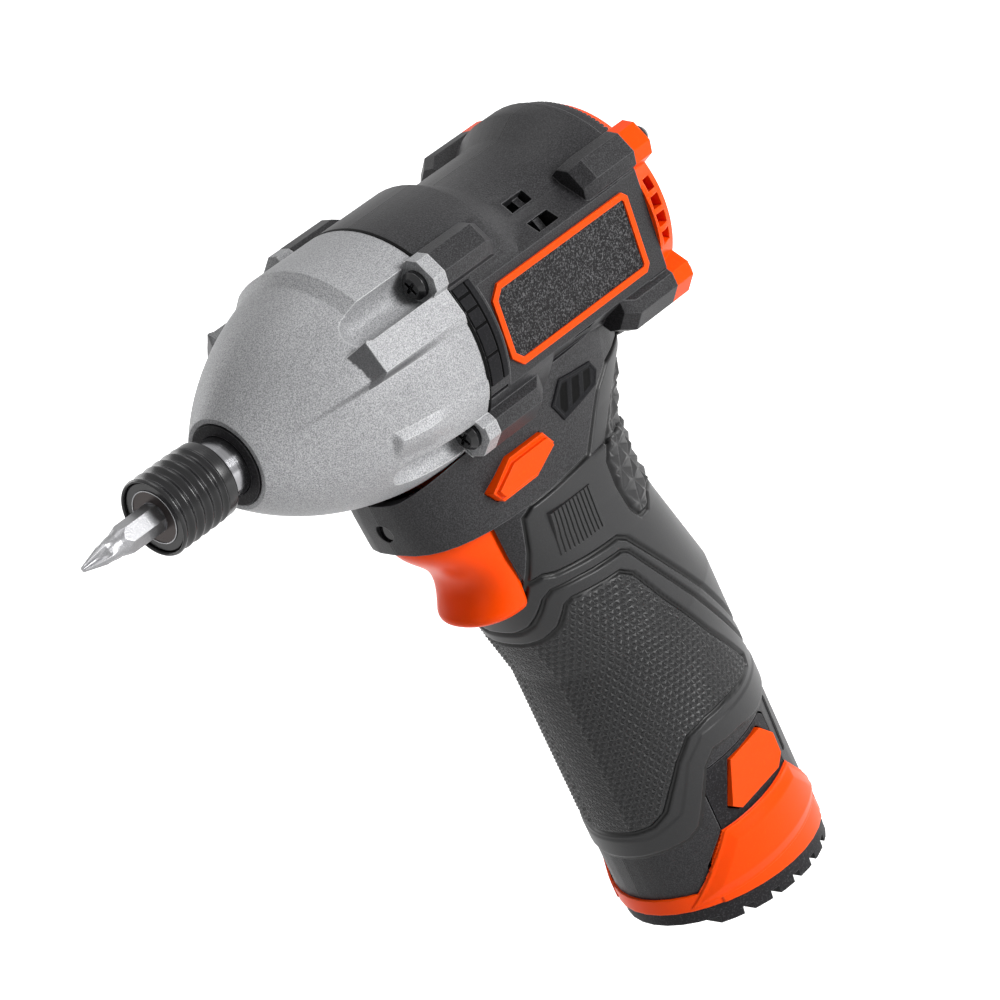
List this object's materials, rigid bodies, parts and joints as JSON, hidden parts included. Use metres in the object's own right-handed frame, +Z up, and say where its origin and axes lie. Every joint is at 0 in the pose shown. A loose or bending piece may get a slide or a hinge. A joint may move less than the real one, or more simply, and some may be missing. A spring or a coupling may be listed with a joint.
{
  "type": "impact driver",
  "caption": "Cordless pistol-grip impact driver with a bullet-shaped gear case, hex collet with bit, trigger, direction selector and slide-in stick battery.",
  "frame": {"origin": "centre of the battery foot on the ground plane", "axes": "+X forward along the tool axis towards the bit, +Y to the left, +Z up"},
  "size_m": [0.1731, 0.0606, 0.202],
  "materials": {
    "black_plastic": "fine spark-eroded grain",
    "rubber_grip": "soft, moulded pyramids",
    "orange_plastic": "satin",
    "cast_silver": "blasted die casting",
    "steel": "ground",
    "bright_steel": "polished",
    "black_steel": "black oxide",
    "bronze": "sintered",
    "copper": "bare",
    "grained_plate": "coarse grain",
    "lens": "clear",
    "cell_wrap": "shrink wrap",
    "carbon": "dull"
  },
  "bodies": {
    "housing": {"housing_left": "black_plastic", "housing_right": "black_plastic", "grip_left": "rubber_grip", "grip_right": "rubber_grip", "gear_case": "cast_silver", "gear_case_screws": "black_steel", "nose_seal": "rubber_grip", "anvil_bush": "bronze", "ring_gear": "steel", "gear_plate": "black_plastic", "spindle_bearing": "bright_steel", "motor_can": "steel", "motor_magnets": "carbon", "motor_end_cap": "black_plastic", "carbon_brushes": "carbon", "rotor_bearings": "bronze", "rear_cap": "orange_plastic", "rear_cap_screws": "black_steel", "label_frame_left": "orange_plastic", "label_frame_right": "orange_plastic", "label_plate_left": "grained_plate", "label_plate_right": "grained_plate", "trigger_switch": "black_plastic", "lamp_lens": "lens", "housing_screws": "black_steel", "terminal_block": "black_plastic", "terminal_blades": "copper"},
    "rotor": {"rotor_shaft": "bright_steel", "armature_core": "steel", "end_windings": "copper", "commutator": "copper", "cooling_fan": "black_plastic", "sun_pinion": "steel"},
    "spindle": {"cam_shaft": "steel", "planet_pins": "bright_steel", "spring_washer": "steel"},
    "planet_a": {"planet_1": "steel"},
    "planet_b": {"planet_2": "steel"},
    "planet_c": {"planet_3": "steel"},
    "hammer_group": {"hammer": "steel", "hammer_balls": "bright_steel", "hammer_spring": "steel"},
    "anvil_group": {"anvil": "bright_steel", "driver_bit": "bright_steel", "lock_balls": "bright_steel", "retaining_ring": "bright_steel"},
    "sleeve": {"collet_sleeve": "black_steel", "sleeve_spring": "steel"},
    "trigger_group": {"trigger": "orange_plastic", "switch_rod": "steel"},
    "direction_selector": {"selector": "orange_plastic"},
    "battery": {"battery_case": "black_plastic", "battery_band": "orange_plastic", "battery_foot": "black_plastic", "battery_cells": "cell_wrap", "cell_holder": "black_plastic", "battery_contacts": "copper", "release_springs": "steel"},
    "button_left": {"release_left": "orange_plastic"},
    "button_right": {"release_right": "orange_plastic"}
  },
  "joints": [
    {"name": "spindle_spin", "type": "hinge", "parent": "housing", "child": "spindle", "pos_m": [0.0472, 0, 0.172], "axis": [1, 0, 0], "continuous": true},
    {"name": "rotor_spin", "type": "hinge", "parent": "housing", "child": "rotor", "pos_m": [-0.0028, 0, 0.172], "axis": [1, 0, 0], "continuous": true},
    {"name": "planet_a_spin", "type": "hinge", "parent": "spindle", "child": "planet_a", "pos_m": [0.0472, 0.01215, 0.172], "axis": [1, 0, 0], "continuous": true},
    {"name": "planet_b_spin", "type": "hinge", "parent": "spindle", "child": "planet_b", "pos_m": [0.0472, -0.00607, 0.18252], "axis": [1, 0, 0], "continuous": true},
    {"name": "planet_c_spin", "type": "hinge", "parent": "spindle", "child": "planet_c", "pos_m": [0.0472, -0.00607, 0.16148], "axis": [1, 0, 0], "continuous": true},
    {"name": "anvil_spin", "type": "hinge", "parent": "housing", "child": "anvil_group", "pos_m": [0.0972, 0, 0.172], "axis": [1, 0, 0], "continuous": true},
    {"name": "hammer_slide", "type": "slide", "parent": "spindle", "child": "hammer_group", "axis": [-1, 0, 0], "range_m": [0, 0.0075], "stiffness_N_per_m": 9000, "springref_m": -0.002, "deforming": ["hammer_spring"]},
    {"name": "sleeve_slide", "type": "slide", "parent": "anvil_group", "child": "sleeve", "axis": [1, 0, 0], "range_m": [0, 0.004], "stiffness_N_per_m": 900, "springref_m": -0.002, "deforming": ["sleeve_spring"]},
    {"name": "trigger_slide", "type": "slide", "parent": "housing", "child": "trigger_group", "axis": [-1, 0, 0], "range_m": [0, 0.006], "stiffness_N_per_m": 900, "springref_m": -0.003},
    {"name": "selector_slide", "type": "slide", "parent": "housing", "child": "direction_selector", "axis": [0, 1, 0], "range_m": [-0.0022, 0.0022]},
    {"name": "battery_slide", "type": "slide", "parent": "housing", "child": "battery", "axis": [-0.1167, 0, -0.9932], "range_m": [0, 0.09]},
    {"name": "release_left_press", "type": "slide", "parent": "battery", "child": "button_left", "axis": [0, -1, 0], "range_m": [0, 0.0014], "stiffness_N_per_m": 3000, "springref_m": -0.001, "deforming": ["release_springs"]},
    {"name": "release_right_press", "type": "slide", "parent": "battery", "child": "button_right", "axis": [0, 1, 0], "range_m": [0, 0.0014], "stiffness_N_per_m": 3000, "springref_m": -0.001, "deforming": ["release_springs"]}
  ],
  "couplings": [
    {"joint": "rotor_spin", "follows": "spindle_spin", "ratio": 6},
    {"joint": "planet_a_spin", "follows": "spindle_spin", "ratio": -2.5},
    {"joint": "planet_b_spin", "follows": "spindle_spin", "ratio": -2.5},
    {"joint": "planet_c_spin", "follows": "spindle_spin", "ratio": -2.5},
    {"joint": "anvil_spin", "follows": "spindle_spin", "ratio": 1}
  ]
}
